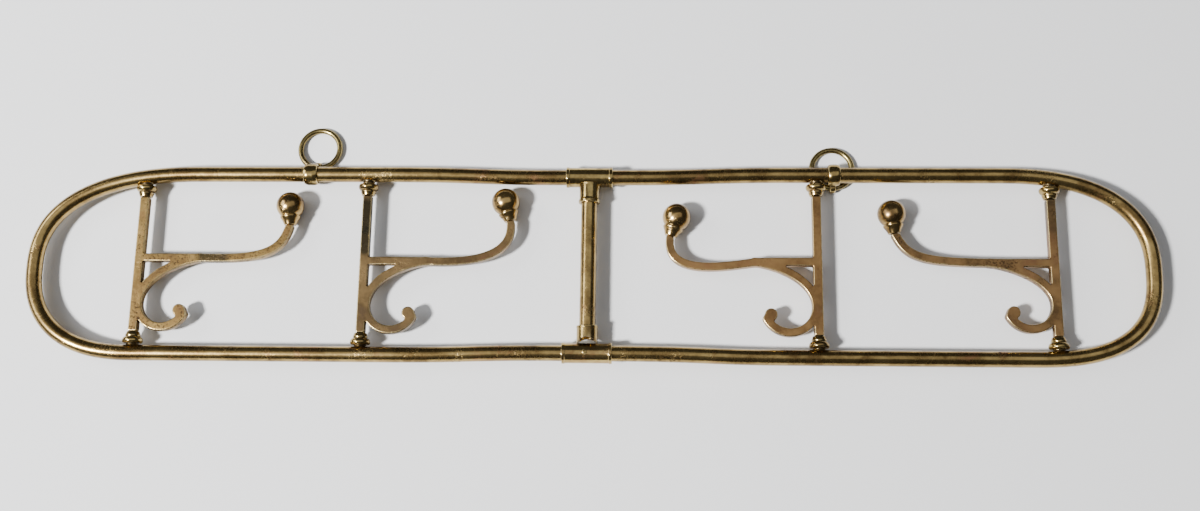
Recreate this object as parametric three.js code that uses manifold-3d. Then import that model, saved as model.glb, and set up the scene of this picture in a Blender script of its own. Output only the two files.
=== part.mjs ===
// Brass hat and coat rack: a long oval frame of tube in two halves, joined by two sleeves with a post
// between them. Four hooks swivel on pins between the rails, and two hanging rings sit in clips that
// turn on the top rail. The rack lies on its back: X along the rails, Y up the rack, Z off the floor.
import * as THREE from "three";
import { mergeVertices } from "three/addons/utils/BufferGeometryUtils.js";
import Module from "manifold-3d";

const wasm = await Module();
wasm.setup();

// Driving sizes, in millimetres.
const gap = 0.3;                // between pieces that touch on the real rack
const railHeight = 11.6;        // rail axis above the floor
const railSpacing = 68.5;       // rail axis from the middle line
const railPinch = 2.1;          // how far the post pulls each rail in
const tubeRadius = 5.8;
const tubeWall = 1.0;
const sleeveRadius = 7.3;
const postRadius = 5.9;
const pinRadius = 1.6;
const barWidth = 6.6;           // square hook bar
const armDepth = 6.0;
const castingThickness = 6.6;
const ballRadius = 10.4;
const ringRadius = 15.0;        // middle of the ring's wire
const wireRadius = 2.1;
const eyeRadius = 10.9;         // clip eye's centre from the rail axis
const eyeBore = wireRadius + 0.5;
const eyeWall = 1.2;

const sleeveY = railSpacing - railPinch;
const boreRadius = tubeRadius + gap;
const pinBore = pinRadius + gap;

const group = new THREE.Group();

const finishes = {
  tube: { color: 0x8a6a34, roughness: 0.34, metalness: 1 },
  fitting: { color: 0xa5843c, roughness: 0.26, metalness: 1 },
  casting: { color: 0x8c6336, roughness: 0.42, metalness: 1 },
  finial: { color: 0xa37f37, roughness: 0.2, metalness: 1 },
  wire: { color: 0x97813a, roughness: 0.28, metalness: 1 },
  steel: { color: 0x5a554e, roughness: 0.5, metalness: 1 },
};

function addPiece(name, geometry, finish, parent = group) {
  const piece = new THREE.Mesh(geometry, new THREE.MeshStandardMaterial(finishes[finish]));
  piece.name = name;
  parent.add(piece);
  return piece;
}

// Booleans on closed three.js geometries.
function solid(geometry) {
  const bare = geometry.clone();
  bare.deleteAttribute("normal");
  bare.deleteAttribute("uv");
  const welded = mergeVertices(bare, 1e-4);
  const mesh = new wasm.Mesh({
    numProp: 3,
    vertProperties: new Float32Array(welded.attributes.position.array),
    triVerts: new Uint32Array(welded.index.array),
  });
  return new wasm.Manifold(mesh);
}

function shell(manifold) {
  const mesh = manifold.getMesh();
  const geometry = new THREE.BufferGeometry();
  geometry.setAttribute("position", new THREE.BufferAttribute(mesh.vertProperties, 3));
  geometry.setIndex(new THREE.BufferAttribute(mesh.triVerts, 1));
  geometry.computeVertexNormals();
  return geometry;
}

// A path whose straight stretches take one step and whose bends take as many as they need.
class SteppedPath extends THREE.Curve {
  constructor() {
    super();
    this.pieces = [];
  }

  add(curve, steps) {
    for (let i = 0; i < steps; i++) this.pieces.push({ curve, from: i / steps, size: 1 / steps });
    return this;
  }

  get steps() {
    return this.pieces.length;
  }

  place(t) {
    const at = Math.min(Math.floor(t * this.steps + 1e-9), this.steps - 1);
    const piece = this.pieces[at];
    const inside = Math.min(t * this.steps - at, 1);
    return { curve: piece.curve, at: Math.max(piece.from + inside * piece.size, 0) };
  }

  getPoint(t) {
    const { curve, at } = this.place(t);
    const p = curve.getPoint(at);
    return new THREE.Vector3(p.x, p.y, 0);
  }

  getPointAt(t) {
    return this.getPoint(t);
  }

  getTangentAt(t) {
    const { curve, at } = this.place(t);
    const p = curve.getTangent(at);
    return new THREE.Vector3(p.x, p.y, 0);
  }
}

function circle(radius, sides, Kind = THREE.Shape) {
  const points = [];
  for (let i = 0; i < sides; i++) {
    const angle = (i + 0.5) * 2 * Math.PI / sides;
    points.push(new THREE.Vector2(radius * Math.cos(angle), radius * Math.sin(angle)));
  }
  return new Kind(points);
}

function tubeAlong(path, radius, sides, bore = 0, boreSides = 8) {
  const section = circle(radius, sides);
  if (bore) section.holes.push(circle(bore, boreSides, THREE.Path));
  return new THREE.ExtrudeGeometry(section, { steps: path.steps, extrudePath: path });
}

function barAlong(path, depth, thickness, corner = 1.2) {
  const a = thickness / 2;
  const b = depth / 2;
  const section = new THREE.Shape();
  section.moveTo(-a + corner, -b);
  section.lineTo(a - corner, -b);
  section.lineTo(a, -b + corner);
  section.lineTo(a, b - corner);
  section.lineTo(a - corner, b);
  section.lineTo(-a + corner, b);
  section.lineTo(-a, b - corner);
  section.lineTo(-a, -b + corner);
  section.closePath();
  return new THREE.ExtrudeGeometry(section, { steps: path.steps, extrudePath: path });
}

// A turned piece: profile points are [radius, height], and the outline closes on itself.
function turned(profile, sides) {
  const points = profile.map(([r, h]) => new THREE.Vector2(r, h));
  points.push(points[0].clone());
  return new THREE.LatheGeometry(points, sides);
}

function rod(radius, from, to, sides = 12) {
  const length = Math.abs(to - from);
  return new THREE.CylinderGeometry(radius, radius, length, sides).translate(0, (from + to) / 2, 0);
}

const alongX = (geometry) => geometry.rotateZ(-Math.PI / 2);
const alongZ = (geometry) => geometry.rotateX(Math.PI / 2);

// Frame. Each half is one bent tube. The nose is the point farthest out, and the upper and lower
// quarter bends run back from it to the straight rails. Fullness 2 would make a bend an ellipse.
const ends = {
  left: { side: -1, reach: 416.5, nose: -3.4, upper: { run: 124, fullness: 2.42 },
    lower: { run: 80, fullness: 2.4 } },
  right: { side: 1, reach: 409.7, nose: -1.8, upper: { run: 108, fullness: 2.42 },
    lower: { run: 92, fullness: 2.7 } },
};
const tubeEnd = 3.2;            // each tube stops this far from the middle of its sleeve
const pinchEnds = 150;          // the rails run parallel beyond this
const pinchStarts = 24;

function quarterBend(end, { run, fullness }, top) {
  // From the straight rail at `top` to the nose, or back, as one quarter of a full ellipse.
  const { side, reach, nose } = end;
  const height = top - nose;
  const steps = 14;
  const swell = (value) => Math.sign(value) * Math.abs(value) ** (2 / fullness);
  class Bend extends THREE.Curve {
    getPoint(t) {
      const angle = height > 0 ? (1 - t) * Math.PI / 2 : -t * Math.PI / 2;
      const x = side * (reach - run + run * swell(Math.cos(angle)));
      return new THREE.Vector2(x, nose + Math.abs(height) * swell(Math.sin(angle)));
    }

    getTangent(t) {
      const step = 1e-4;
      const a = this.getPoint(Math.max(t - step, 0));
      const b = this.getPoint(Math.min(t + step, 1));
      return b.sub(a).normalize();
    }
  }
  return [new Bend(), steps];
}

function railPath(end) {
  const { side, reach, upper, lower } = end;
  const at = (x, y) => new THREE.Vector2(side * x, y);
  const middle = (pinchStarts + pinchEnds) / 2;
  const straight = (x0, x1, y) => new THREE.LineCurve(at(x0, y), at(x1, y));
  const pinch = (x0, x1, y0, y1) => new THREE.CubicBezierCurve(
    at(x0, y0), at(middle, y0), at(middle, y1), at(x1, y1));
  const path = new SteppedPath();
  path.add(straight(tubeEnd, pinchStarts, sleeveY), 1);
  path.add(pinch(pinchStarts, pinchEnds, sleeveY, railSpacing), 5);
  path.add(straight(pinchEnds, reach - upper.run, railSpacing), 1);
  path.add(...quarterBend(end, upper, railSpacing));
  path.add(...quarterBend(end, lower, -railSpacing));
  path.add(straight(reach - lower.run, pinchEnds, -railSpacing), 1);
  path.add(pinch(pinchEnds, pinchStarts, -railSpacing, -sleeveY), 5);
  path.add(straight(pinchStarts, tubeEnd, -sleeveY), 1);
  return path;
}

// Hooks. The castings are hand finished, so no two are quite alike. `side` is the way the arm points,
// armY the arm's height, tip where it meets the finial and knee how low it runs before it sweeps up.
// arrive and lean are the angles at which the arm ends and the finial stands, back from upright.
// The curl has its own radius and lowest point, and sinks into the bar by its inset. A boss is as tall
// as its collar has to stand off the rail there.
const hooks = [
  { name: "hook_1", x: -336.4, side: 1, armY: 3.2, tip: [111.7, 29], knee: 2, arrive: -13, lean: 3.5,
    curlRadius: 18.2, curlBottom: -49.2, curlInset: 1.4, topBoss: 3.6, bottomBoss: 0.9 },
  { name: "hook_2", x: -166.6, side: 1, armY: 1.4, tip: [108, 32.7], knee: -1, arrive: 9.5, lean: 15.5,
    curlRadius: 18.4, curlBottom: -50.3, curlInset: 0.5, topBoss: 2.1, bottomBoss: 0.9 },
  { name: "hook_3", x: 168, side: -1, armY: 2, tip: [107.6, 21.6], knee: -7, arrive: 9, lean: 17.5,
    curlRadius: 19, curlBottom: -50.3, curlInset: 1.7, topBoss: 1.6, bottomBoss: 0.9 },
  { name: "hook_4", x: 338.6, side: -1, armY: 2, tip: [113.7, 24.1], knee: 3, arrive: -25, lean: -6,
    curlRadius: 17.5, curlBottom: -46.6, curlInset: 2.5, topBoss: 3.6, bottomBoss: 1.4 },
];
const bossRadius = 4.7;
const collarLength = 8.6;
const railFace = railSpacing - tubeRadius;
const pinDepth = 5.5;           // into the end of the bar

// Where the collars and the bar's ends lie along one hook's pivot.
function levels(hook) {
  const topCollar = railFace - hook.topBoss - gap;
  const bottomCollar = -railFace + hook.bottomBoss + gap;
  const seat = collarLength + gap;
  return { topCollar, bottomCollar, barTop: topCollar - seat, barBottom: bottomCollar + seat };
}

function railSolid(end, radius) {
  return solid(tubeAlong(railPath(end), radius, 12));
}

for (const [name, end] of Object.entries(ends)) {
  let tube = solid(tubeAlong(railPath(end), tubeRadius, 12, tubeRadius - tubeWall));
  for (const hook of hooks.filter((h) => h.side !== end.side)) {
    for (const way of [1, -1]) {
      const hole = rod(pinBore, way * (railFace - 4), way * railSpacing).translate(hook.x, 0, 0);
      tube = tube.subtract(solid(hole));
    }
  }
  addPiece(`${name}_frame_tube`, shell(tube), "tube").position.z = railHeight;
}

// Sleeves: the tube halves plug into their ends.
const sleeveLengths = { top: 34.6, bottom: 36.6 };
const rimRadius = sleeveRadius + 0.4;
const rimWidth = 2.2;

function sleeve(length) {
  const half = length / 2;
  return alongX(turned([
    [boreRadius, -half], [rimRadius, -half], [rimRadius, rimWidth - half],
    [sleeveRadius, rimWidth - half], [sleeveRadius, half - rimWidth], [rimRadius, half - rimWidth],
    [rimRadius, half], [boreRadius, half],
  ], 20));
}

const rivetX = -1.5;
const rivetRadius = 1.2;
addPiece("top_coupling_sleeve", sleeve(sleeveLengths.top), "fitting")
  .position.set(0, sleeveY, railHeight);
const rivetHole = alongZ(rod(rivetRadius + gap, 0, sleeveRadius + 2)).translate(rivetX, 0, 0);
const bottomSleeve = solid(sleeve(sleeveLengths.bottom)).subtract(solid(rivetHole));
addPiece("bottom_coupling_sleeve", shell(bottomSleeve), "fitting")
  .position.set(0, -sleeveY, railHeight);
const rivetShape = [
  [0, sleeveRadius - 3], [rivetRadius, sleeveRadius - 3], [rivetRadius, sleeveRadius + gap],
  [1.9, sleeveRadius + gap], [1.6, sleeveRadius + 0.7], [0, sleeveRadius + 1.0],
];
addPiece("sleeve_rivet", new THREE.LatheGeometry(
  rivetShape.map(([r, h]) => new THREE.Vector2(r, h)), 12).rotateX(Math.PI / 2), "fitting")
  .position.set(rivetX, -sleeveY, railHeight);

// Centre post and the two sockets that seat it on the sleeves.
const shoulderY = 46.4;
const socketBore = postRadius + gap;
const sleeveCut = solid(alongX(rod(sleeveRadius + gap, -15, 15, 20)));
const topSocket = solid(turned([
  [socketBore, shoulderY], [7.9, shoulderY], [7.9, shoulderY + 2.4], [7.3, shoulderY + 3.2],
  [7.3, sleeveY - 1], [socketBore, sleeveY - 1],
], 20)).subtract(sleeveCut.translate([0, sleeveY, 0]));
addPiece("top_post_socket", shell(topSocket), "fitting").position.z = railHeight;

const archRadius = 8.2;         // the fish-mouth that shows as a low arch above the sleeve
const archTop = -55.1;
const arch = alongZ(rod(archRadius, -12, 12, 28)).translate(0, archTop - archRadius, 0);
const socketRadius = 7.9;
const bottomSocket = solid(turned([
  [socketBore, -sleeveY + 4], [socketRadius, -sleeveY + 4], [socketRadius, -shoulderY],
  [socketBore, -shoulderY],
], 20)).subtract(sleeveCut.translate([0, -sleeveY, 0])).subtract(solid(arch));
addPiece("bottom_post_socket", shell(bottomSocket), "fitting").position.z = railHeight;

const postTop = sleeveY - sleeveRadius - 1;
const postBottom = archTop + 0.5;
addPiece("centre_post", turned([
  [postRadius - 1.1, postBottom], [postRadius, postBottom], [postRadius, postTop],
  [postRadius - 1.1, postTop],
], 16), "tube").position.z = railHeight;

// Pivot bosses and pins, fixed to the rails.
for (const hook of hooks) {
  const end = hook.side > 0 ? ends.left : ends.right;
  const rail = railSolid(end, tubeRadius + gap);
  const { barTop, barBottom } = levels(hook);
  for (const [place, way, height] of [["top", 1, hook.topBoss], ["bottom", -1, hook.bottomBoss]]) {
    const inner = way * (railFace - height);
    const block = solid(rod(bossRadius, inner, way * (railSpacing - 1), 16).translate(hook.x, 0, 0));
    const bore = solid(rod(pinBore, inner - way, way * railSpacing).translate(hook.x, 0, 0));
    const boss = block.subtract(rail).subtract(bore);
    addPiece(`${hook.name}_${place}_boss`, shell(boss), "fitting").position.z = railHeight;
    const foot = way > 0 ? barTop - pinDepth + gap : barBottom + pinDepth - gap;
    addPiece(`${hook.name}_${place}_pin`, rod(pinRadius, foot, way * (railSpacing - 2.4)), "steel")
      .position.set(hook.x, 0, railHeight);
  }
}

// One hook's casting: square bar, arm, brace that runs into the lower curl, and the curl's round tip.
const curlStop = 332;           // degrees, from the side away from the post
const curlTipRadius = 4.6;
const sweep = 20.8;             // how strongly the arm's end is drawn towards the finial's line

function casting(hook) {
  const at = (u, v) => new THREE.Vector2(hook.side * u, v);
  const lean = THREE.MathUtils.degToRad(hook.lean);
  const arrive = THREE.MathUtils.degToRad(hook.arrive);
  const [tipU, tipV] = hook.tip;
  const { barTop, barBottom } = levels(hook);
  const arm = new SteppedPath();
  arm.add(new THREE.LineCurve(at(0, hook.armY), at(45, hook.armY)), 1);
  arm.add(new THREE.CubicBezierCurve(
    at(45, hook.armY), at(95, hook.knee),
    at(tipU + sweep * Math.sin(arrive), tipV - sweep * Math.cos(arrive)), at(tipU, tipV)), 14);
  arm.add(new THREE.LineCurve(
    at(tipU, tipV), at(tipU - 2 * Math.sin(arrive), tipV + 2 * Math.cos(arrive))), 1);
  const radius = hook.curlRadius;
  const spine = barWidth / 2 - hook.curlInset;
  const [curlU, curlV] = [spine + radius, hook.curlBottom + radius];
  const brace = new SteppedPath();
  brace.add(new THREE.CubicBezierCurve(
    at(46, hook.armY), at(24, hook.armY - 3.4), at(spine, curlV + 0.95 * radius),
    at(spine, curlV)), 9);
  class Curl extends THREE.Curve {
    getPoint(t) {
      const angle = THREE.MathUtils.degToRad(180 + (curlStop - 180) * t);
      return at(curlU + radius * Math.cos(angle), curlV + radius * Math.sin(angle));
    }

    getTangent(t) {
      const angle = THREE.MathUtils.degToRad(180 + (curlStop - 180) * t);
      return at(-Math.sin(angle), Math.cos(angle));
    }
  }
  brace.add(new Curl(), 12);
  const bar = new THREE.BoxGeometry(barWidth, barTop - barBottom, castingThickness)
    .translate(0, (barTop + barBottom) / 2, 0);
  const tip = alongZ(rod(curlTipRadius, -castingThickness / 2, castingThickness / 2, 20))
    .translate(hook.side * (curlU + 0.72 * radius), curlV - 0.31 * radius, 0);
  let body = solid(bar).add(solid(barAlong(arm, armDepth, castingThickness)));
  body = body.add(solid(barAlong(brace, armDepth, castingThickness))).add(solid(tip));
  body = body.subtract(solid(rod(pinBore, barTop - pinDepth, barTop + 1)));
  body = body.subtract(solid(rod(pinBore, barBottom - 1, barBottom + pinDepth)));
  // The arm's end is trimmed square to the finial, and drilled for its stud.
  const beyond = new THREE.BoxGeometry(16, 8, 12).translate(0, 4, 0);
  const stud = rod(studRadius + gap, -studDepth, 2, 10);
  for (const cutter of [beyond, stud]) {
    cutter.rotateZ(hook.side * lean).translate(hook.side * tipU, tipV, 0);
    body = body.subtract(solid(cutter));
  }
  return shell(body);
}

// Finial: a ball sunk in a flared cup, turned in one piece, held on the arm by a threaded stud.
const studRadius = 1.3;
const studDepth = 5;
const ballCentre = 15.3;        // from the arm's end
const ballStart = 7.8;          // where the ball leaves the cup

function finial() {
  const profile = [
    [0, 5.6], [studRadius + gap, 5.6], [studRadius + gap, gap], [4.4, gap], [4.9, 1.4], [5.7, 3.2],
    [7.1, 5.3], [7.6, 6.4], [6.9, 7.4],
  ];
  const points = profile.map(([r, h]) => new THREE.Vector2(r, h));
  const neck = Math.acos((ballCentre - ballStart) / ballRadius);
  for (let i = 0; i <= 11; i++) {
    const angle = neck + (Math.PI - neck) * i / 11;
    const r = i === 11 ? 0 : ballRadius * Math.sin(angle);
    points.push(new THREE.Vector2(r, ballCentre - ballRadius * Math.cos(angle)));
  }
  return new THREE.LatheGeometry(points, 22);
}

function collar(hook, way) {
  const { topCollar, bottomCollar } = levels(hook);
  const face = way > 0 ? topCollar : bottomCollar;
  const down = (depth) => face - way * depth;
  const profile = [
    [pinBore, 0], [6.4, 0], [7.4, 1], [7.4, 2.7], [6.5, 4.2], [5.2, 4.8], [5.6, 5.8], [5, 7.2],
    [4.6, collarLength], [pinBore, collarLength],
  ].map(([r, depth]) => [r, down(depth)]);
  return turned(way > 0 ? profile.reverse() : profile, 16);
}

const droop = Math.asin((railHeight - ballRadius) / hooks[0].tip[0]);
for (const hook of hooks) {
  const swing = new THREE.Group();
  swing.position.set(hook.x, 0, railHeight);
  swing.rotation.y = hook.side * droop;
  group.add(swing);
  addPiece(`${hook.name}_casting`, casting(hook), "casting", swing);
  addPiece(`${hook.name}_top_collar`, collar(hook, 1), "fitting", swing);
  addPiece(`${hook.name}_bottom_collar`, collar(hook, -1), "fitting", swing);
  const seat = new THREE.Group();
  seat.position.set(hook.side * hook.tip[0], hook.tip[1], 0);
  seat.rotation.z = hook.side * THREE.MathUtils.degToRad(hook.lean);
  swing.add(seat);
  addPiece(`${hook.name}_finial`, finial(), "finial", seat);
  addPiece(`${hook.name}_finial_stud`, rod(studRadius, gap - studDepth, 5.6 - gap, 10), "steel", seat);
}

// Hanging clips and rings. The band turns on the rail; the ring runs through the eye. `way` is the
// side of the rail that the eye sits on; lug is the eye's place along the band.
const clips = [
  { name: "clip_1", ring: "ring_1", x: -210.6, width: 10.2, way: 1, lug: 2.9 },
  { name: "clip_2", ring: "ring_2", x: 181.4, width: 8.8, way: -1, lug: 0 },
];
const lugThickness = 4.4;
const eyeHeight = eyeBore + eyeWall + 0.05;
const eyeDrop = railHeight - eyeHeight;
const eyeOut = Math.sqrt(eyeRadius ** 2 - eyeDrop ** 2);

function clipBody(clip) {
  const w = clip.width / 2;
  const band = solid(alongX(turned([
    [boreRadius, -w], [7.4, -w], [8.2, -w * 0.5], [8.2, w * 0.5], [7.4, w], [boreRadius, w],
  ], 20)));
  const eye = solid(alongX(rod(eyeBore + eyeWall, -lugThickness / 2, lugThickness / 2, 20))
    .translate(clip.lug, clip.way * eyeOut, -eyeDrop));
  const web = new THREE.BoxGeometry(lugThickness, eyeRadius, 5.2).translate(0, eyeRadius / 2, 0)
    .rotateX(Math.atan2(-eyeDrop, clip.way * eyeOut)).translate(clip.lug, 0, 0);
  const bore = solid(alongX(rod(boreRadius, -10, 10, 20)));
  const eyeHole = solid(alongX(rod(eyeBore, -10, 10, 16))
    .translate(clip.lug, clip.way * eyeOut, -eyeDrop));
  return shell(band.add(eye).add(solid(web)).subtract(bore).subtract(eyeHole));
}

for (const clip of clips) {
  addPiece(clip.name, clipBody(clip), "fitting").position.set(clip.x, railSpacing, railHeight);
  // The ring leans from the floor of the eye down to the floor under its far side.
  const nearHeight = eyeHeight - (eyeBore - wireRadius - gap);
  const tilt = Math.asin((nearHeight - wireRadius) / (2 * ringRadius));
  const ring = addPiece(clip.ring, new THREE.TorusGeometry(ringRadius, wireRadius, 10, 36), "wire");
  ring.position.set(
    clip.x + clip.lug, railSpacing + clip.way * eyeOut + ringRadius * Math.cos(tilt),
    nearHeight - ringRadius * Math.sin(tilt));
  ring.rotation.x = -tilt;
}

// The origin is on the floor, under the middle of the whole outline.
const bounds = new THREE.Box3().setFromObject(group, true);
const middle = bounds.getCenter(new THREE.Vector3());
group.position.set(-middle.x, -middle.y, -bounds.min.z);

export default group;
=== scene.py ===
import math
import random

import bmesh
import bpy
import numpy as np
from mathutils import Matrix, Vector
from mathutils.geometry import tessellate_polygon


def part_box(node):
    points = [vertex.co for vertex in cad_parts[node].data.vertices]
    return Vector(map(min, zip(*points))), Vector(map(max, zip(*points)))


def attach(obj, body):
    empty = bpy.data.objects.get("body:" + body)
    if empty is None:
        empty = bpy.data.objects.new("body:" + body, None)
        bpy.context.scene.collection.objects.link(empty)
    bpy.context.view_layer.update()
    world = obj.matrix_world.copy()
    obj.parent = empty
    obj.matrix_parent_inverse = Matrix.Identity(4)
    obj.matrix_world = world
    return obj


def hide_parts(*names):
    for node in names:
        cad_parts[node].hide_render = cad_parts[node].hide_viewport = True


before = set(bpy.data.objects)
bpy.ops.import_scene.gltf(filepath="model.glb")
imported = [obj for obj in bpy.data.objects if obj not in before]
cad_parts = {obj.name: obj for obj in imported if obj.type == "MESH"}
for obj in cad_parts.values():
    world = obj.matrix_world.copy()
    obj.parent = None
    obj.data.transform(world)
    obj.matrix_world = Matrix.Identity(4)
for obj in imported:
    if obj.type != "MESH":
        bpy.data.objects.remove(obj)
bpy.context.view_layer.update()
mm = 0.001
random.seed(11)


def middleOf(*nodes):
    corners = [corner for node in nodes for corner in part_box(node)]
    return Vector([(min(c[i] for c in corners) + max(c[i] for c in corners)) / 2 for i in range(3)])


# Everything below is worked out in millimetres from the middle of the rack, on the axis of the rails.
centre = middleOf("top_coupling_sleeve", "bottom_coupling_sleeve")
rackPlace = Matrix.Translation(centre) @ Matrix.Scale(mm, 4)
rails = {"spacing": 68.5, "pinch": 2.1, "radius": 5.8, "wall": 1.0, "height": 11.6, "start": 3.2,
         "pinchStart": 24, "pinchEnd": 150}
sleeveY = rails["spacing"] - rails["pinch"]
fit = 0.3                       # play between pieces that move on each other
seatPlay, cutPlay, boreEase, postEase = 0.04, 0.02, 0.04, 0.05    # play between pieces that are fixed


class Wire:
    # an output socket that can be added, multiplied and so on
    def __init__(self, finish, socket):
        self.finish, self.socket = finish, socket

    def join(self, operation, first, second):
        wires = [w for w in (first, second) if isinstance(w, Wire)]
        if all(w.socket.type == "VALUE" for w in wires):
            return self.finish.node("ShaderNodeMath", {"operation": operation}, {0: first, 1: second})
        first, second = [w if isinstance(w, Wire) or hasattr(w, "__len__") else (w, w, w)
                         for w in (first, second)]
        return self.finish.node("ShaderNodeVectorMath", {"operation": operation},
                                {0: first, 1: second})

    def __add__(self, other):
        return self.join("ADD", self, other)

    def __radd__(self, other):
        return self.join("ADD", other, self)

    def __sub__(self, other):
        return self.join("SUBTRACT", self, other)

    def __rsub__(self, other):
        return self.join("SUBTRACT", other, self)

    def __mul__(self, other):
        return self.join("MULTIPLY", self, other)

    def __rmul__(self, other):
        return self.join("MULTIPLY", other, self)


class Finish:
    def __init__(self, name):
        self.material = bpy.data.materials.new(name)
        self.material.use_nodes = True
        self.tree = self.material.node_tree
        self.tree.nodes.clear()
        self.shader = self.tree.nodes.new("ShaderNodeBsdfPrincipled")
        output = self.tree.nodes.new("ShaderNodeOutputMaterial")
        self.tree.links.new(self.shader.outputs[0], output.inputs["Surface"])

    def fill(self, node, inputs):
        for key, value in inputs.items():
            if isinstance(value, Wire):
                self.tree.links.new(value.socket, node.inputs[key])
            else:
                node.inputs[key].default_value = value

    def node(self, kind, settings=(), inputs=(), out=0):
        node = self.tree.nodes.new(kind)
        for key, value in dict(settings).items():
            if key == "stops":
                ramp = node.color_ramp
                while len(ramp.elements) < len(value):
                    ramp.elements.new(0.5)
                for element, (position, shade) in zip(ramp.elements, value):
                    element.position, element.color = position, shade
            else:
                setattr(node, key, value)
        self.fill(node, dict(inputs))
        return Wire(self, node.outputs[out])

    def noise(self, where, scale, detail=3, roughness=0.55, distortion=0.0):
        return self.node("ShaderNodeTexNoise", {}, {
            "Vector": where, "Scale": scale, "Detail": detail, "Roughness": roughness,
            "Distortion": distortion})

    def step(self, value, low, high):
        return self.node("ShaderNodeMapRange", {"interpolation_type": "SMOOTHSTEP"}, {
            "Value": value, "From Min": low, "From Max": high})

    def mix(self, factor, first, second, blend="MIX"):
        return self.node("ShaderNodeMix", {"data_type": "RGBA", "blend_type": blend},
                         {0: factor, 6: first, 7: second}, out=2)


def colour(red, green, blue):
    # from the 0-255 values a painter would pick
    linear = [(c / 255 / 12.92) if c <= 10 else ((c / 255 + 0.055) / 1.055) ** 2.4
              for c in (red, green, blue)]
    return (*linear, 1.0)


# What sets one aged brass apart from another. spots, copper, green and dark are amounts from 0 to 1.
tubeLook = {"bright": colour(178, 152, 98), "deep": colour(112, 90, 54), "dark": 0.32, "spots": 0.3,
            "copper": 0.5, "green": 0.3, "rough": 0.24, "streaks": 0.8, "turned": 0.0, "tarnish": 0.4}
fittingLook = {"bright": colour(188, 164, 106), "deep": colour(116, 94, 58), "dark": 0.5, "spots": 0.3,
               "copper": 0.25, "green": 0.7, "rough": 0.2, "streaks": 0.0, "turned": 0.6, "tarnish": 0.45}
castLook = {"copper": 0.3, "green": 0.25, "rough": 0.34, "streaks": 0.0, "turned": 0.0, "tarnish": 0.5}
# the balls' one dark mark is painted shade over the far end of each ball, its shaded side
ballLook = {"bright": colour(192, 162, 106), "deep": colour(116, 92, 58), "dark": 0.5, "spots": 0.35,
            "copper": 0.45, "green": 0.4, "rough": 0.21, "streaks": 0.0, "turned": 0.25, "tarnish": 0.4,
            "stains_and_shade": [(-2, 26, 10, 0.6)]}
wireLook = {"bright": colour(172, 154, 98), "deep": colour(100, 86, 54), "dark": 0.5, "spots": 0.3,
            "copper": 0.1, "green": 0.35, "rough": 0.26, "streaks": 0.4, "turned": 0.0, "tarnish": 0.5}
shades = {"tarnish": colour(62, 48, 34), "stain_and_shade_tone": colour(58, 54, 42), "pit": colour(44, 34, 26),
          "copper": colour(176, 124, 92), "verdigris": colour(112, 136, 118), "edge": colour(226, 204, 150)}


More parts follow.
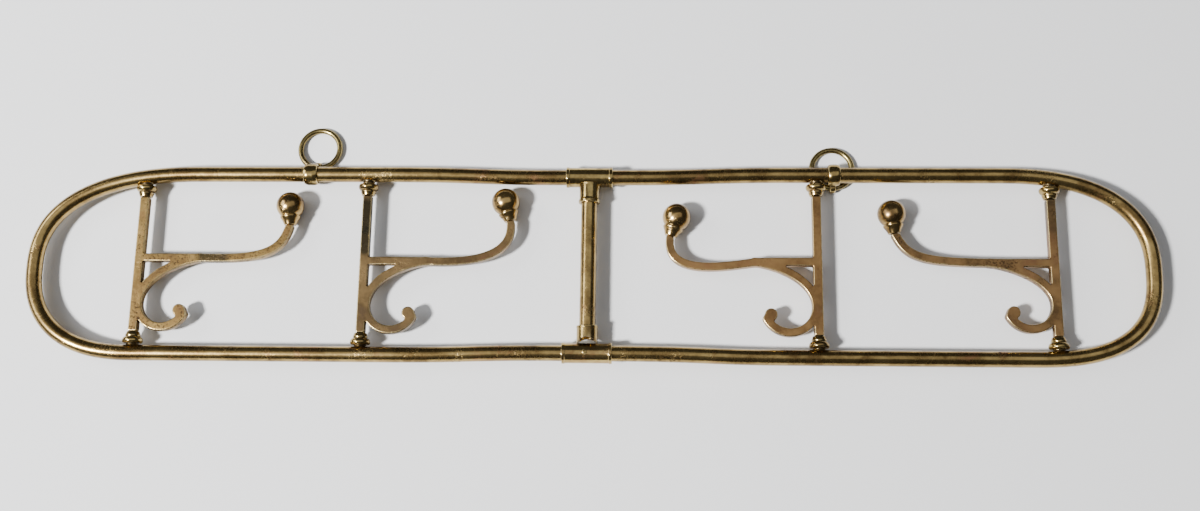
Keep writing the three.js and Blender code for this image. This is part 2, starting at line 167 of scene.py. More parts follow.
def agedBrass(name, look, side=1):
    f = Finish(name)
    grain = f.node("ShaderNodeAttribute", {"attribute_name": "grain"}, out="Vector")
    wear = f.node("ShaderNodeAttribute", {"attribute_name": "wear"}, out="Fac")
    broad = f.noise(grain, 26, 4, 0.6, 0.6)
    cloudy = f.noise(grain + (3.1, 1.7, 0.4), 95, 5, 0.62, 0.4)
    fine = f.noise(grain, 420, 4, 0.65)
    specks = f.noise(grain + (0.3, 5.2, 2.2), 620, 3, 0.6)
    drawn = f.noise(grain * (0.03, 1.0, 1.0), 1500, 3, 0.6)
    rings = f.noise(grain * (0.02, 1.0, 0.02), 2600, 3, 0.6)
    tint = f.step(broad * 0.55 + cloudy * 0.45, 0.36, 0.64)
    base = f.mix(tint, look["bright"], look["deep"])
    # tarnish gathers in patches, with ragged edges
    film = f.step(broad * 0.4 + cloudy * 0.4 + fine * 0.2 - (wear - 0.5) * 0.5, 0.50, 0.63) * look["dark"]
    base = f.mix(film, base, shades["tarnish"])
    flush = f.step(f.noise(grain + (7.7, 0.2, 3.3), 17, 3, 0.5, 0.8) * 0.7 + cloudy * 0.3, 0.55, 0.68)
    base = f.mix(flush * look["copper"], base, shades["copper"])
    base = f.mix(f.step(drawn, 0.5, 0.7) * (0.5 * look["streaks"]), base, look["deep"])
    # marks are [across, along, size, amount] in millimetres from the piece's own pivot or seat; the castings'
    # marks are stains, and the balls' mark is painted shade darkening each ball's far end
    spot = f.node("ShaderNodeAttribute", {"attribute_name": "spot"}, out="Vector")
    stain_and_shade_mask = 0.0
    for across, along, size, amount in look.get("stains_and_shade", ()):
        away = f.node("ShaderNodeVectorMath", {"operation": "DISTANCE"},
                      {0: spot, 1: (along * mm, side * across * mm, 0)}, out="Value")
        edge = away + (cloudy - 0.5) * (0.5 * size * mm)
        stain_and_shade_mask = (1 - f.step(edge, 0.7 * size * mm, 1.15 * size * mm)) * amount + stain_and_shade_mask
    # stains on the castings, and painted shade on the balls, darken the colour here
    if isinstance(stain_and_shade_mask, Wire):
        base = f.mix(stain_and_shade_mask, base, shades["stain_and_shade_tone"])
    # pits come in colonies
    colony = f.step(f.noise(grain + (9.0, 4.0, 1.0), 34, 3, 0.6), 0.62 - 0.3 * look["spots"],
                    0.72 - 0.2 * look["spots"])
    pits = f.step(specks, 0.53, 0.6) * colony
    base = f.mix(pits * 0.8, base, shades["pit"])
    # edges are rubbed bright, and recesses hold verdigris and dirt
    rubbed = f.step(wear + (cloudy - 0.5) * 0.3, 0.58, 0.82)
    base = f.mix(rubbed * 0.6, base, shades["edge"])
    hollow = 1 - f.step(wear + (fine - 0.5) * 0.25, 0.24, 0.42)
    base = f.mix(hollow * 0.7, base, shades["tarnish"])
    bloom = f.step(f.noise(grain + (2.0, 8.0, 5.0), 120, 4, 0.7), 0.5, 0.66)
    scatter = f.step(broad, 0.56, 0.7) * f.step(fine, 0.52, 0.66) * 0.35
    crust = (hollow * bloom + scatter * bloom) * look["green"]
    base = f.mix(crust, base, shades["verdigris"])
    rough = (look["rough"] + film * 0.22 + (fine - 0.5) * 0.16 + pits * 0.3 + crust * 0.4
             + (cloudy - 0.5) * 0.12 - rubbed * 0.08 - stain_and_shade_mask * 0.1)
    height = (fine * 0.35 + cloudy * 0.6 - pits * 0.9 + crust * 0.5
              + drawn * (0.12 * look["streaks"]) + rings * (0.12 * look["turned"]))
    bump = f.node("ShaderNodeBump", {}, {"Strength": 0.35, "Distance": 0.00022, "Height": height})
    f.fill(f.shader, {"Base Color": base, "Roughness": rough,
                      "Metallic": 1 - crust * 0.8 - film * look["tarnish"] * 0.3, "Normal": bump})
    f.shader.inputs["Specular IOR Level"].default_value = 0.5
    return f.material


def darkSteel(name):
    f = Finish(name)
    grain = f.node("ShaderNodeAttribute", {"attribute_name": "grain"}, out="Vector")
    rust = f.step(f.noise(grain, 700, 4, 0.6), 0.45, 0.62)
    base = f.mix(rust, colour(96, 92, 86), colour(82, 58, 40))
    f.fill(f.shader, {"Base Color": base, "Roughness": rust * 0.3 + 0.4, "Metallic": 1 - rust * 0.5})
    return f.material


def loft(rings, closed):
    # quads between rings of equal count; an open loft is closed with a point at each end
    rings = np.asarray(rings, float)
    count, sides = rings.shape[:2]
    points = [tuple(p) for p in rings.reshape(-1, 3)]
    faces = []
    for i in range(count if closed else count - 1):
        a, b = i * sides, (i + 1) % count * sides
        for j in range(sides):
            k = (j + 1) % sides
            faces.append((a + j, a + k, b + k, b + j))
    if not closed:
        for ring, row in ((rings[0], 0), (rings[-1], (count - 1) * sides)):
            points.append(tuple(ring.mean(0)))
            faces += [(row + j, row + (j + 1) % sides, len(points) - 1) for j in range(sides)]
    return points, faces


def rounded(profile, radius, closed, steps=4):
    # each corner of a profile becomes a small arc, no bigger than its neighbours leave room for
    points = [np.array(p[:2], float) for p in profile]
    sizes = [p[2] if len(p) > 2 else radius for p in profile]
    result = []
    for i, here in enumerate(points):
        if not closed and i in (0, len(points) - 1):
            result.append(here)
            continue
        before, after = points[i - 1], points[(i + 1) % len(points)]
        back, on = before - here, after - here
        reach = min(sizes[i], np.linalg.norm(back) * 0.45, np.linalg.norm(on) * 0.45)
        a = here + back / np.linalg.norm(back) * reach
        b = here + on / np.linalg.norm(on) * reach
        for t in np.linspace(0, 1, steps + 1):
            result.append((1 - t) ** 2 * a + 2 * t * (1 - t) * here + t * t * b)
    return result


def turned(profile, radius=0.3, closed=True, sides=48, shape=None):
    # profile is [radius, height, corner], turned about Y. shape may move each ring's points
    rings = []
    for r, h in rounded(profile, radius, closed):
        angles = np.arange(sides) * 2 * math.pi / sides
        ring = np.stack([r * np.sin(angles), np.full(sides, h), r * np.cos(angles)], 1)
        rings.append(shape(ring, r, h) if shape else ring)
    return loft(rings, closed)


def rod(radius, start, end, sides=32):
    return turned([[0, start], [radius, start, 0], [radius, end, 0], [0, end]], 0, False, sides)


def blank(name, parts, origin):
    # one mesh object from (points, faces, matrix) parts, set where the origin matrix puts them
    build = bmesh.new()
    for points, faces, *local in parts:
        matrix = origin @ local[0] if local else origin
        made = [build.verts.new(matrix @ Vector(p)) for p in points]
        for face in faces:
            build.faces.new([made[i] for i in face])
    bmesh.ops.remove_doubles(build, verts=build.verts, dist=1e-7)
    bmesh.ops.recalc_face_normals(build, faces=build.faces)
    mesh = bpy.data.meshes.new(name)
    build.to_mesh(mesh)
    build.free()
    piece = bpy.data.objects.new(name, mesh)
    bpy.context.scene.collection.objects.link(piece)
    return piece


def modify(piece, steps):
    # steps are (modifier, settings); a tool object is deleted once it has been used
    tools = []
    for kind, settings in steps:
        modifier = piece.modifiers.new(kind, kind)
        for key, value in settings.items():
            setattr(modifier, key, value)
            if key == "object":
                tools.append(value)
    bpy.context.view_layer.update()
    ready = piece.evaluated_get(bpy.context.evaluated_depsgraph_get())
    piece.data = bpy.data.meshes.new_from_object(ready)
    piece.modifiers.clear()
    for tool in tools:
        bpy.data.objects.remove(tool)


def cut(tool):
    return "BOOLEAN", {"operation": "DIFFERENCE", "solver": "EXACT", "object": tool}


wearGain = 0.55                 # how strongly a bend, per millimetre, shows as wear


def readWear(mesh):
    # 0.5 on plain surfaces, towards 1 on outer edges and 0 in hollows
    points = np.array([v.co for v in mesh.vertices])
    normals = np.array([v.normal for v in mesh.vertices])
    edges = np.array([e.vertices for e in mesh.edges])
    bend = np.zeros(len(points))
    share = np.zeros(len(points))
    for a, b in ((0, 1), (1, 0)):
        step = points[edges[:, a]] - points[edges[:, b]]
        length = np.maximum(np.linalg.norm(step, axis=1), 1e-5)
        lift = (step * normals[edges[:, a]]).sum(1) / length
        np.add.at(bend, edges[:, a], lift)
        np.add.at(share, edges[:, a], length)
    curve = 2 * bend / np.maximum(share, 1e-6) * mm
    return 0.5 + np.clip(curve * wearGain, -0.5, 0.5)


def install(piece, material, body, nodes, origin, grain=None, sharp=38):
    mesh = piece.data
    mesh.shade_smooth()
    mesh.set_sharp_from_angle(angle=math.radians(sharp))
    shift = np.array([random.uniform(0, 4) for _ in range(3)])
    if grain is None:
        back = np.array(origin.inverted()) if origin else np.eye(4)
        co = np.array([v.co for v in mesh.vertices])
        local = (co @ back[:3, :3].T + back[:3, 3]) * mm
        grain = local[:, [1, 0, 2]]
    flat = mesh.attributes.new("spot", "FLOAT_VECTOR", "POINT")
    flat.data.foreach_set("vector", np.asarray(grain).astype(np.float32).ravel())
    field = mesh.attributes.new("grain", "FLOAT_VECTOR", "POINT")
    field.data.foreach_set("vector", (np.asarray(grain) + shift).astype(np.float32).ravel())
    rub = mesh.attributes.new("wear", "FLOAT", "POINT")
    rub.data.foreach_set("value", readWear(mesh).astype(np.float32))
    mesh.materials.clear()
    mesh.materials.append(material)
    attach(piece, body)
    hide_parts(*nodes)
    return piece


def place(x=0.0, y=0.0, z=0.0, turn=0.0, axis="Z"):
    return Matrix.Translation((x, y, z)) @ Matrix.Rotation(turn, 4, axis)


alongX = Matrix.Rotation(-math.pi / 2, 4, "Z")
alongZ = Matrix.Rotation(math.pi / 2, 4, "X")


def bezier(a, b, c, d, count):
    t = np.linspace(0, 1, count)[:, None]
    a, b, c, d = (np.array(p, float) for p in (a, b, c, d))
    return (1 - t) ** 3 * a + 3 * (1 - t) ** 2 * t * b + 3 * (1 - t) * t * t * c + t ** 3 * d


ends = {
    "left": {"side": -1, "reach": 416.5, "nose": -3.4, "upper": (124, 2.42), "lower": (80, 2.4)},
    "right": {"side": 1, "reach": 409.7, "nose": -1.8, "upper": (108, 2.42), "lower": (92, 2.7)},
}


def quarterBend(end, run, fullness, top):
    # from the straight rail at `top` to the nose; fullness 2 would be a plain ellipse
    angle = np.linspace(math.pi / 2, 0, 160)
    power = 2 / fullness
    return np.stack([end["reach"] - run + run * np.clip(np.cos(angle), 0, 1) ** power,
                     end["nose"] + (top - end["nose"]) * np.clip(np.sin(angle), 0, 1) ** power], 1)


def runAlong(line):
    return np.r_[0, np.cumsum(np.linalg.norm(np.diff(line, axis=0), axis=1))]


def evenly(line, pitch):
    run = runAlong(line)
    at = np.linspace(0, run[-1], int(run[-1] / pitch) + 1)
    return np.stack([np.interp(at, run, line[:, 0]), np.interp(at, run, line[:, 1])], 1)


def railLine(end):
    # the tube's middle line from the top sleeve round to the bottom one
    x0, x1, x2 = rails["start"], rails["pinchStart"], rails["pinchEnd"]
    top, mid = rails["spacing"], (x1 + x2) / 2
    halves = []
    for way, (run, fullness) in ((1, end["upper"]), (-1, end["lower"])):
        halves.append(np.vstack([
            [(x0, way * sleeveY)],
            bezier((x1, way * sleeveY), (mid, way * sleeveY), (mid, way * top), (x2, way * top), 80),
            quarterBend(end, run, fullness, way * top)]))
    line = np.vstack([halves[0], halves[1][-2::-1]])
    return evenly(line, 2.4) * (end["side"], 1)


railLines = {name: railLine(end) for name, end in ends.items()}


def sweep(line, outer, inner, sides=40):
    # a hollow tube along a flat line, with eased ends
    tangent = np.gradient(line, axis=0)
    tangent /= np.linalg.norm(tangent, axis=1)[:, None]
    across = np.stack([-tangent[:, 1], tangent[:, 0]], 1)
    run = runAlong(line)
    angles = np.arange(sides) * 2 * math.pi / sides
    rings, grain = [], []
    stations = [(i, outer - (0.25 if i in (0, len(line) - 1) else 0)) for i in range(len(line))]
    stations += [(i, inner) for i in reversed(range(len(line)))]
    for i, radius in stations:
        side, up = radius * np.cos(angles), radius * np.sin(angles)
        rings.append(np.stack([line[i, 0] + across[i, 0] * side, line[i, 1] + across[i, 1] * side,
                               up], 1))
        grain.append(np.stack([np.full(sides, run[i]), side, up], 1))
    points, faces = loft(rings, True)
    return points, faces, np.vstack(grain) * mm


tubeFinish = agedBrass("aged_tube_brass", tubeLook)
for name, line in railLines.items():
    points, faces, grain = sweep(line, rails["radius"], rails["radius"] - rails["wall"])
    tube = blank(f"{name}_tube", [(points, faces)], rackPlace)
    install(tube, tubeFinish, "frame", [f"{name}_frame_tube"], None, grain)
print("frame tubes built")


fittingFinish = agedBrass("turned_fitting_brass", fittingLook)
sleeves = {"radius": 7.3, "rim": 0.4, "rimWidth": 2.2, "lengths": {"top": 34.6, "bottom": 36.6},
           "rivetX": -1.5}
for spot, length in sleeves["lengths"].items():
    half, r, rim, w = length / 2, sleeves["radius"], sleeves["rim"], sleeves["rimWidth"]
    bore = rails["radius"] + boreEase
    outline = [[bore, -half, 0.2], [r + rim, -half, 0.45], [r + rim, w - half, 0.35],
               [r, w - half + 0.3, 0.25], [r, half - w - 0.3, 0.25], [r + rim, half - w, 0.35],
               [r + rim, half, 0.45], [bore, half, 0.2]]
    here = rackPlace @ place(0, sleeveY if spot == "top" else -sleeveY) @ alongX
    sleeve = blank(f"{spot}_sleeve", [turned(outline, 0.3, True, 64)], here)
    install(sleeve, fittingFinish, "frame", [f"{spot}_coupling_sleeve"], here)

rivet = {"shank": 1.2, "head": 1.9, "rise": 1.0}
here = rackPlace @ place(sleeves["rivetX"], -sleeveY) @ alongZ
r = sleeves["radius"]
piece = blank("sleeve_rivet_head", [turned(
    [[0, r - 2.4], [rivet["shank"], r - 2.4, 0.2], [rivet["shank"], r - 0.1, 0.05],
     [rivet["head"], r - 0.05, 0.1], [rivet["head"] - 0.3, r + 0.7, 0.5], [0, r + rivet["rise"]]],
    0.2, False, 32)], here)
install(piece, fittingFinish, "frame", ["sleeve_rivet"], here)

post = {"radius": 5.9, "wall": 1.1, "shoulder": 46.4, "archRadius": 8.2, "archTop": -55.1,
        "socket": 7.9, "neck": 7.3}


def saddle(ring, lift, reach, height, start, brim=5.2):
    # carries the rings above `start` up onto a round bar that lies across them, up to the brim
    y = ring[:, 1]
    seat = height - np.sqrt(reach ** 2 - np.minimum(np.abs(ring[:, 2]), brim) ** 2)
    share = np.clip((y - start) / lift, 0, 1)
    ring[:, 1] = y + share * (seat - start - lift)
    return ring


def topSocket():
    start, end = post["shoulder"] + 3.2, sleeveY - sleeves["radius"] - 1
    bore, wide, narrow = post["radius"] + postEase, post["socket"], post["neck"]
    outline = [[bore, post["shoulder"], 0.15], [wide, post["shoulder"], 0.5],
               [wide, post["shoulder"] + 2.4, 0.6], [narrow, start, 0.5], [narrow, end - 1.2, 0.6],
               [narrow + 0.35, end, 0.2], [bore, end, 0.2]]

    def shape(ring, r, h):
        return saddle(ring, end - start, sleeves["radius"] + cutPlay, sleeveY, start)

    return turned(outline, 0.3, True, 64, shape)


piece = blank("top_socket", [topSocket()], rackPlace)
install(piece, fittingFinish, "frame", ["top_post_socket"], rackPlace)

bore = post["radius"] + postEase
wide = post["socket"]
socket = blank("bottom_socket", [turned(
    [[bore, -sleeveY + 3], [wide - 0.2, -sleeveY + 3, 0.1], [wide - 0.2, -post["shoulder"] - 1.6, 0.3],
     [wide, -post["shoulder"] - 1.4, 0.3], [wide, -post["shoulder"], 0.5],
     [bore, -post["shoulder"], 0.3]], 0.3, True, 64)], rackPlace)
sleeveCutter = blank("sleeve_cutter", [rod(sleeves["radius"] + cutPlay, -15, 15, 64)],
                     rackPlace @ place(0, -sleeveY) @ alongX)
archCutter = blank("arch_cutter", [rod(post["archRadius"], -12, 12, 64)],
                   rackPlace @ place(0, post["archTop"] - post["archRadius"]) @ alongZ)
modify(socket, [cut(sleeveCutter), cut(archCutter)])
install(socket, fittingFinish, "frame", ["bottom_post_socket"], rackPlace)

outer, inner = post["radius"], post["radius"] - post["wall"]
low, high = post["archTop"] + 0.5, sleeveY - sleeves["radius"] - 1
stations = np.linspace(low, high, 30)
piece = blank("post_tube", [turned(
    [[inner, low]] + [[outer, y, 0.1] for y in stations] + [[inner, high]], 0.15, True, 48)], rackPlace)
install(piece, tubeFinish, "frame", ["centre_post"], rackPlace)
print("sleeves, sockets and post built")


hooks = {
    "hook_1": {"side": 1, "armY": 3.2, "tip": (111.7, 29), "knee": 2, "arrive": -13, "lean": 3.5,
               "curl": 18.2, "curlBottom": -49.2, "inset": 1.4, "bosses": (3.6, 0.9)},
    "hook_2": {"side": 1, "armY": 1.4, "tip": (108, 32.7), "knee": -1, "arrive": 9.5, "lean": 15.5,
               "curl": 18.4, "curlBottom": -50.3, "inset": 0.5, "bosses": (2.1, 0.9)},
    "hook_3": {"side": -1, "armY": 2, "tip": (107.6, 21.6), "knee": -7, "arrive": 9, "lean": 17.5,
               "curl": 19, "curlBottom": -50.3, "inset": 1.7, "bosses": (1.6, 0.9)},
    "hook_4": {"side": -1, "armY": 2, "tip": (113.7, 24.1), "knee": 3, "arrive": -25, "lean": -6,
               "curl": 17.5, "curlBottom": -46.6, "inset": 2.5, "bosses": (3.6, 1.4)},
}
bar = {"width": 6.6, "thickness": 6.6, "armDepth": 6.0, "edge": 0.8, "curlStop": 332, "curlTip": 4.6,
       "sweep": 20.8}
pivots = {"bossRadius": 4.7, "brim": 2.6, "collar": 8.6, "pin": 1.6, "pinDepth": 5.5}
finial = {"stud": 1.3, "studDepth": 5.0, "bore": 5.6, "middle": 15.3, "start": 7.8, "ball": 10.4}
# the arm runs straight, then eases into its curve over easeSpan; blurCount evenly spaced points are blurred
armEase = {"straight": 45, "pitch": 0.3, "blurCount": 93, "easeSpan": 16}
# the box and grid in which a casting's outline is found, and the spacing of the points along it
tracing = {"low": (-7, -62), "high": (125, 60), "pitch": 0.6, "spacing": 0.55}
railFace = rails["spacing"] - rails["radius"]
pinBore = pivots["pin"] + fit
for hook in hooks.values():
    # where the collars and the bar's ends lie along the pivot
    hook["topCollar"] = railFace - hook["bosses"][0] - fit
    hook["bottomCollar"] = -railFace + hook["bosses"][1] + fit
    hook["barTop"] = hook["topCollar"] - pivots["collar"] - fit
    hook["barBottom"] = hook["bottomCollar"] + pivots["collar"] + fit


def easeMin(a, b, k):
    share = np.clip(0.5 + 0.5 * (b - a) / k, 0, 1)
    return b * (1 - share) + a * share - k * share * (1 - share)


def strokeDistance(points, line, half):
    # signed distance to a line drawn with a round pen, whose half width may vary along it
    result = np.empty(len(points))
    for start in range(0, len(points), 4000):
        some = points[start:start + 4000]
        gaps = np.linalg.norm(some[:, None] - line[None], axis=2) - half
        result[start:start + 4000] = gaps.min(1)
    return result


def castingShape(hook):
    # the casting's flat outline as a distance field: below zero inside the metal
    tip = np.array(hook["tip"], float)
    arrive, lean = math.radians(hook["arrive"]), math.radians(hook["lean"])
    heading = np.array([-math.sin(arrive), math.cos(arrive)])
    up = np.array([-math.sin(lean), math.cos(lean)])
    bendX = armEase["straight"]
    arm = np.vstack([
        np.stack([np.linspace(0, bendX, 150), np.full(150, hook["armY"])], 1),
        bezier((bendX, hook["armY"]), (95, hook["knee"]), tip - bar["sweep"] * heading, tip, 240),
        tip + heading * np.linspace(0, 2.5, 8)[:, None]])
    arm = evenly(arm, armEase["pitch"])
    kernel = np.hanning(armEase["blurCount"])
    padded = np.pad(arm[:, 1], armEase["blurCount"] // 2, "edge")
    smooth = np.convolve(padded, kernel / kernel.sum(), "valid")
    share = np.exp(-((arm[:, 0] - bendX) / armEase["easeSpan"]) ** 2)
    arm[:, 1] += share * (smooth - arm[:, 1])
    radius = hook["curl"]
    spine = bar["width"] / 2 - hook["inset"]
    hub = np.array([spine + radius, hook["curlBottom"] + radius])
    angles = np.radians(np.linspace(180, bar["curlStop"], 170))[:, None]
    brace = np.vstack([
        bezier((46, hook["armY"]), (24, hook["armY"] - 3.4), (spine, hub[1] + 0.95 * radius),
               (spine, hub[1]), 150),
        hub + radius * np.hstack([np.cos(angles), np.sin(angles)])])
    half = bar["armDepth"] / 2
    knob = hub + radius * np.array([0.72, -0.31])
    middle = np.array([0, (hook["barTop"] + hook["barBottom"]) / 2])
    size = np.array([bar["width"] / 2, (hook["barTop"] - hook["barBottom"]) / 2]) - 1.1

    def field(points):
        away = np.abs(points - middle) - size
        metal = np.linalg.norm(np.maximum(away, 0), axis=1) + np.minimum(away.max(1), 0) - 1.1
        metal = easeMin(metal, strokeDistance(points, arm, half), 0.9)
        metal = easeMin(metal, strokeDistance(points, brace, half), 0.9)
        metal = easeMin(metal, np.linalg.norm(points - knob, axis=1) - bar["curlTip"], 1.6)
        seat = (points - tip) @ up
        trimmed = -easeMin(-metal, -seat, 2.4)
        return np.where(points[:, 0] > 85, trimmed, metal)

    return field


def outlines(field, low, high, pitch):
    # closed lines where the field is zero, by marching squares
    xs, ys = np.arange(low[0], high[0], pitch), np.arange(low[1], high[1], pitch)
    gridX, gridY = np.meshgrid(xs, ys)
    values = field(np.stack([gridX.ravel(), gridY.ravel()], 1)).reshape(gridX.shape)
    inside = values < 0
    links, places = {}, {}

    def crossing(j0, i0, j1, i1):
        key = (j0, i0, j1, i1)
        if key not in places:
            t = values[j0, i0] / (values[j0, i0] - values[j1, i1])
            places[key] = (xs[i0] + t * (xs[i1] - xs[i0]), ys[j0] + t * (ys[j1] - ys[j0]))
        return key

    mixed = inside[:-1, :-1].astype(int) + inside[1:, :-1] + inside[:-1, 1:] + inside[1:, 1:]
    for j, i in zip(*np.nonzero((mixed > 0) & (mixed < 4))):
        sides = [(j, i, j, i + 1), (j, i + 1, j + 1, i + 1), (j + 1, i, j + 1, i + 1), (j, i, j + 1, i)]
        keys = [crossing(*s) for s in sides if inside[s[0], s[1]] != inside[s[2], s[3]]]
        for a, b in zip(keys[::2], keys[1::2]):
            links.setdefault(a, []).append(b)
            links.setdefault(b, []).append(a)
    loops = []
    while links:
        start = next(iter(links))
        loop, before, here = [], None, start
        while here in links:
            onward = [k for k in links.pop(here) if k != before]
            loop.append(places[here])
            before, here = here, next((k for k in onward if k in links), start)
        if len(loop) > 8:
            loops.append(np.array(loop))
    return loops


def slope(field, points, step=0.02):
    right, up = np.array([step, 0]), np.array([0, step])
    grade = np.stack([field(points + right) - field(points - right),
                      field(points + up) - field(points - up)], 1)
    return grade / np.maximum(np.linalg.norm(grade, axis=1), 1e-9)[:, None]


def castingMesh(hook):
    # every outline becomes a wall with rounded edges, and the flats are filled between the outlines
    field = castingShape(hook)
    high, edge = bar["thickness"] / 2, bar["edge"]
    arc = np.radians(np.linspace(90, 0, 5))
    steps = [(edge + 0.3, high)]
    steps += [(edge - edge * math.cos(a), high - edge + edge * math.sin(a)) for a in arc]
    steps += [(inset, -z) for inset, z in reversed(steps)]
    points, faces, rims = [], [], []
    for loop in outlines(field, tracing["low"], tracing["high"], tracing["pitch"]):
        whole = np.vstack([loop, loop[:1]])
        run = runAlong(whole)
        count = int(run[-1] / tracing["spacing"])
        at = np.linspace(0, run[-1], count, endpoint=False)
        line = np.stack([np.interp(at, run, whole[:, 0]), np.interp(at, run, whole[:, 1])], 1)
        for _ in range(3):
            line = line - field(line)[:, None] * slope(field, line)
        outward = slope(field, line)
        base = len(points)
        for inset, z in steps:
            flat = line - outward * inset
            points += [(x * hook["side"], y, z) for x, y in flat]
        for k in range(len(steps) - 1):
            a, b = base + k * count, base + (k + 1) * count
            faces += [(a + j, a + (j + 1) % count, b + (j + 1) % count, b + j) for j in range(count)]
        rims.append((base, base + (len(steps) - 1) * count, count))
    for level in (0, 1):
        loops = [[Vector(points[rim[level] + j]) for j in range(rim[2])] for rim in rims]
        index = [rim[level] + j for rim in rims for j in range(rim[2])]
        faces += [tuple(index[k] for k in face) for face in tessellate_polygon(loops)]
    return points, faces


def finialMesh():
    ball, middle = finial["ball"], finial["middle"]
    neck = math.acos((middle - finial["start"]) / ball)
    bore, deep = finial["stud"] + fit, finial["bore"]
    outline = [[0, deep], [bore, deep, 0.1], [bore, 0.1, 0.1], [4.4, 0.1, 0.3], [4.9, 1.4, 0.6],
               [5.7, 3.2, 0.8], [7.1, 5.3, 0.6], [7.6, 6.4, 0.5], [6.95, 7.35, 0.25],
               [ball * math.sin(neck) - 0.15, 7.6, 0.15]]
    outline += [[ball * math.sin(a), middle - ball * math.cos(a), 0.6]
                for a in np.linspace(neck, math.pi - 0.04, 34)]
    return turned(outline + [[0, middle + ball]], 0.3, False, 56)


def collarMesh(hook, way):
    face, tall = hook["topCollar" if way > 0 else "bottomCollar"], pivots["collar"]
    outline = [[pinBore, 0, 0.2], [6.5, 0, 0.4], [7.4, 1.0, 0.7], [7.4, 2.7, 0.8], [6.5, 4.2, 0.5],
               [5.2, 4.8, 0.35], [5.6, 5.8, 0.6], [5.0, 7.2, 0.6], [4.6, tall, 0.3], [pinBore, tall, 0.2]]
    return turned([[r, face - way * depth, *corner] for r, depth, *corner in outline], 0.3, True, 48)


def bossMesh(x, line, way, height):
    # a spacer whose far end is fitted to the rail
    branch = line[(line[:, 1] > 0) == (way > 0)]
    branch = branch[np.argsort(branch[:, 0])]
    face = railFace - height
    r, bossBrim = pivots["bossRadius"], pivots["brim"]

    def shape(ring, radius, h):
        # h runs from 0 on the collar's side to 1 on the rail
        across = x + ring[:, 0]
        axis = np.interp(across, branch[:, 0], branch[:, 1] * way)
        tilt = np.interp(across, branch[:, 0], np.gradient(branch[:, 1], branch[:, 0]))
        depth = np.minimum(np.abs(ring[:, 2]), bossBrim)
        seat = axis - np.sqrt(((rails["radius"] - seatPlay) ** 2 - depth ** 2) * (1 + tilt ** 2))
        ring[:, 1] = way * (face + h * (seat - face))
        return ring

    outline = [[pinBore, 0, 0.02], [r - 0.1, 0, 0.03], [r, 0.12, 0.05], [r - 0.5, 0.45, 0.1],
               [r - 0.25, 0.8, 0.1], [r + 0.1, 1.0, 0.0], [pinBore, 1.0, 0.0]]
    return turned(outline, 0.05, True, 48, shape)


castLooks = {
    "hook_1": {"bright": colour(160, 133, 82), "deep": colour(110, 86, 51), "spots": 0.95, "dark": 0.5,
               "stains_and_shade": [(56, 4, 13, 0.75)]},
    "hook_2": {"bright": colour(136, 112, 76), "deep": colour(82, 67, 46), "spots": 0.35, "dark": 0.7,
               "stains_and_shade": [(0, 16, 11, 0.8), (0, 36, 14, 0.85)]},
    "hook_3": {"bright": colour(160, 126, 82), "deep": colour(118, 89, 57), "spots": 0.2, "dark": 0.35,
               "stains_and_shade": [(106, 14, 8, 0.3)]},
    "hook_4": {"bright": colour(154, 121, 80), "deep": colour(104, 81, 53), "spots": 0.45, "dark": 0.5,
               "stains_and_shade": [(0, 38, 16, 0.5)]},
}
ballFinish = agedBrass("finial_ball_brass", ballLook)
# the spacers' brass is painted dark to stand for the shade in the gaps between the collars and the rails
shadeDarkenedSpacerFinish = agedBrass("painted_shade_spacer_brass", {**fittingLook, "bright": colour(104, 88, 60),
                                              "deep": colour(64, 54, 38), "rough": 0.34, "dark": 0.8})
pinFinish = darkSteel("pivot_pin_steel")
droop = math.asin((rails["height"] - finial["ball"]) / hooks["hook_1"]["tip"][0])

for name, hook in hooks.items():
    pinX = (middleOf(f"{name}_top_pin").x - centre.x) / mm
    side = hook["side"]
    line = railLines["left" if side > 0 else "right"]
    pivot = rackPlace @ place(pinX) @ Matrix.Rotation(side * droop, 4, "Y")
    seat = pivot @ place(side * hook["tip"][0], hook["tip"][1], 0, side * math.radians(hook["lean"]))

    casting = blank(f"{name}_arm", [castingMesh(hook)], pivot)
    drills = blank("drills", [
        rod(pinBore, hook["barTop"] - pivots["pinDepth"], hook["barTop"] + 1),
        rod(pinBore, hook["barBottom"] - 1, hook["barBottom"] + pivots["pinDepth"]),
        (*rod(finial["stud"] + fit, -finial["studDepth"], 1.5), pivot.inverted() @ seat)], pivot)
    modify(casting, [cut(drills)])
    castFinish = agedBrass(f"{name}_cast_brass", {**castLook, **castLooks[name]}, side)
    install(casting, castFinish, name, [f"{name}_casting"], pivot)

    ball = blank(f"{name}_ball", [finialMesh()], seat)
    install(ball, ballFinish, name, [f"{name}_finial"], seat)
    foot, top, r = fit - finial["studDepth"], finial["bore"] - fit, finial["stud"]
    stud = blank(f"{name}_ball_stud", [turned(
        [[0, foot], [r, foot, 0.3], [r, top, 0.3], [0, top]], 0.3, False, 24)], seat)
    install(stud, pinFinish, name, [f"{name}_finial_stud"], seat)

    for spot, way, height in (("top", 1, hook["bosses"][0]), ("bottom", -1, hook["bosses"][1])):
        collar = blank(f"{name}_{spot}_flange", [collarMesh(hook, way)], pivot)
        install(collar, fittingFinish, name, [f"{name}_{spot}_collar"], pivot)
        here = rackPlace @ place(pinX)
        boss = blank(f"{name}_{spot}_spacer", [bossMesh(pinX, line, way, height)], here)
        install(boss, shadeDarkenedSpacerFinish, "frame", [f"{name}_{spot}_boss"], here)
        end = hook["barTop" if way > 0 else "barBottom"]
        foot = end - way * (pivots["pinDepth"] - fit)
        head = way * (rails["spacing"] - 2.4)
        pin = blank(f"{name}_{spot}_pivot", [turned(
            [[0, foot], [pivots["pin"], foot, 0.4], [pivots["pin"], head, 0.4], [0, head]],
            0.4, False, 28)], here)
        install(pin, pinFinish, "frame", [f"{name}_{spot}_pin"], here)
    print(name, "built")


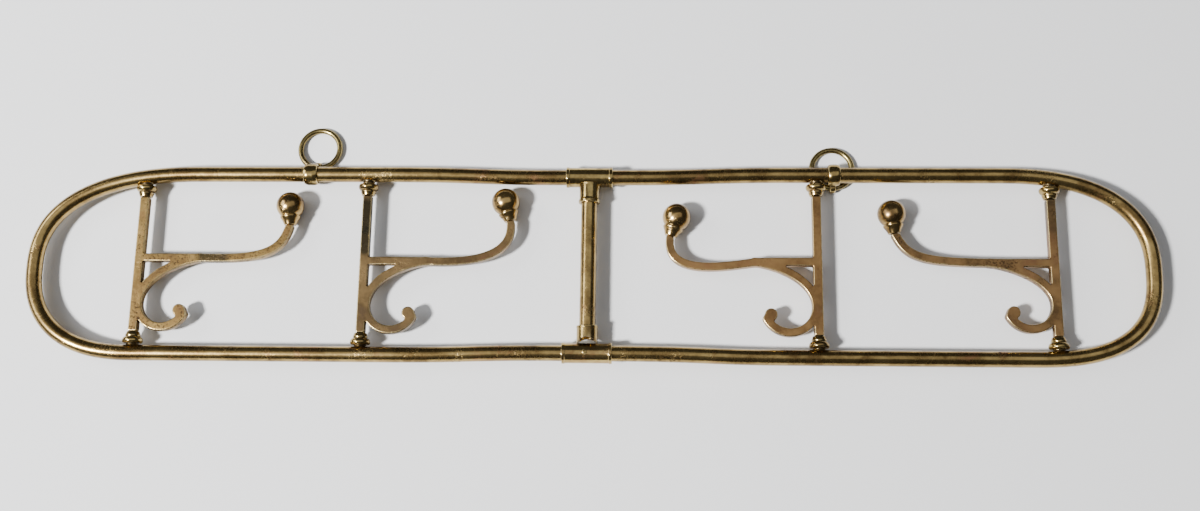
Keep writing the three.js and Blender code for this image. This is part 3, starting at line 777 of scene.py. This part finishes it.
ringFinish = agedBrass("ring_wire_brass", wireLook)
clips = {
    "clip_1": {"ring": "ring_1", "width": 10.2, "way": 1, "lug": 2.9},
    "clip_2": {"ring": "ring_2", "width": 8.8, "way": -1, "lug": 0},
}
bandShape = {"rim": 7.4, "crown": 8.2, "remesh": 0.36}
eye = {"reach": 10.9, "bore": 2.6, "wall": 1.2, "thickness": 4.4, "web": 5.2}
ringShape = {"radius": 15.0, "wire": 2.1}
eyeHeight = eye["bore"] + eye["wall"] + 0.05
eyeDrop = rails["height"] - eyeHeight
eyeOut = math.sqrt(eye["reach"] ** 2 - eyeDrop ** 2)
clipBore = rails["radius"] + fit

for name, clip in clips.items():
    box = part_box(name)
    clipX = ((box[0].x + box[1].x) / 2 - centre.x) / mm
    rim, crown = bandShape["rim"], bandShape["crown"]
    here = rackPlace @ place(clipX, rails["spacing"])
    w = clip["width"] / 2
    lug = place(clip["lug"], clip["way"] * eyeOut, -eyeDrop)
    half = eye["thickness"] / 2
    solid = blank(f"{name}_band", [(*turned(
        [[3, -w, 0.1], [rim, -w, 0.4], [crown, -w * 0.5, 0.9], [crown, w * 0.5, 0.9], [rim, w, 0.4],
         [3, w, 0.1]], 0.4, True, 64), alongX)], here)
    outerEye = eye["bore"] + eye["wall"]
    knob = blank("eye", [(*turned(
        [[0, -half], [outerEye, -half, 0.9], [outerEye, half, 0.9], [0, half]], 0.5, False, 48),
        lug @ alongX)], here)
    angle = math.atan2(-eyeDrop, clip["way"] * eyeOut)
    reach, t = eye["reach"], eye["web"] / 2
    web = blank("web", [([(x, y, z) for x in (-half, half) for y in (0, reach) for z in (-t, t)],
                         [(0, 1, 3, 2), (4, 6, 7, 5), (0, 4, 5, 1), (2, 3, 7, 6), (0, 2, 6, 4), (1, 5, 7, 3)],
                         place(clip["lug"]) @ Matrix.Rotation(angle, 4, "X"))], here)
    union = {"operation": "UNION", "solver": "EXACT"}
    bores = blank("bores", [(*rod(clipBore, -10, 10, 64), alongX),
                            (*rod(eye["bore"], -10, 10, 40), lug @ alongX)], here)
    modify(solid, [("BOOLEAN", {**union, "object": knob}), ("BOOLEAN", {**union, "object": web}),
                   ("REMESH", {"mode": "VOXEL", "voxel_size": bandShape["remesh"] * mm}),
                   ("SMOOTH", {"factor": 0.5, "iterations": 5}), cut(bores)])
    install(solid, fittingFinish, name, [name], here)

    ring = middleOf(clip["ring"])
    nearHeight = eyeHeight - (eye["bore"] - ringShape["wire"] - fit)
    tilt = math.asin((nearHeight - ringShape["wire"]) / (2 * ringShape["radius"]))
    here = Matrix.Translation(ring) @ Matrix.Scale(mm, 4) @ Matrix.Rotation(-tilt, 4, "X")
    turns = np.linspace(0, 2 * math.pi, 112, endpoint=False)
    angles = np.linspace(0, 2 * math.pi, 24, endpoint=False)
    loops = []
    for a in turns:
        r = ringShape["radius"] + ringShape["wire"] * np.cos(angles)
        loops.append(np.stack([r * math.cos(a), r * math.sin(a), ringShape["wire"] * np.sin(angles)], 1))
    hoop = blank(f"{clip['ring']}_hoop", [loft(loops, True)], here)
    install(hoop, ringFinish, clip["ring"], [clip["ring"]], here)
print("clips and rings built")


def floorFinish():
    f = Finish("pale_floor")
    where = f.node("ShaderNodeTexCoord", {}, {}, out="Object")
    cloud = f.noise(where, 3.0, 3, 0.5)
    f.fill(f.shader, {"Base Color": f.mix(cloud, colour(222, 223, 226), colour(229, 230, 232)),
                      "Roughness": 0.85})
    return f.material


bpy.ops.mesh.primitive_plane_add(size=9, location=(0, 0, 0))
floor = bpy.context.object
floor.name = "floor"
floor.data.materials.append(floorFinish())

world = bpy.data.worlds.new("room")
bpy.context.scene.world = world
world.use_nodes = True
world.node_tree.nodes["Background"].inputs["Color"].default_value = (0.95, 0.97, 1.0, 1)
world.node_tree.nodes["Background"].inputs["Strength"].default_value = 0.075

# position, size, watts, tint, and the turn of the overhead panel; the others face the rack's middle
lights = {
    "key": {"at": (-2.3, -1.05, 2.9), "size": (0.45, 0.45), "power": 400, "tint": (1.0, 0.99, 0.97)},
    "overhead": {"at": (0.1, 0.1, 2.0), "size": (3.6, 1.5), "power": 12, "tint": (0.98, 0.99, 1.0),
                 "turn": 15},
    "window": {"at": (-1.9, 0.5, 1.3), "size": (1.2, 0.8), "power": 18, "tint": (0.97, 0.99, 1.0)},
}
for name, lamp in lights.items():
    data = bpy.data.lights.new(name, "AREA")
    data.shape = "RECTANGLE"
    data.size, data.size_y = lamp["size"]
    data.energy = lamp["power"]
    data.color = lamp["tint"]
    panel = bpy.data.objects.new(name, data)
    panel.location = lamp["at"]
    if "turn" in lamp:
        panel.rotation_euler = (0, 0, math.radians(lamp["turn"]))
    else:
        panel.rotation_euler = (-Vector(lamp["at"])).to_track_quat("-Z", "Y").to_euler()
    bpy.context.scene.collection.objects.link(panel)

view = {"at": (0.0550, -0.2267, 0.9462), "turn": (13.05, 2.443, 0.836), "lens": 39.0}
lens = bpy.data.cameras.new("camera")
lens.lens, lens.sensor_width, lens.sensor_fit = view["lens"], 36, "HORIZONTAL"
lens.clip_start = 0.01
camera = bpy.data.objects.new("camera", lens)
camera.location = view["at"]
camera.rotation_euler = [math.radians(a) for a in view["turn"]]
bpy.context.scene.collection.objects.link(camera)
bpy.context.scene.camera = camera
print("stage, lights and camera set")
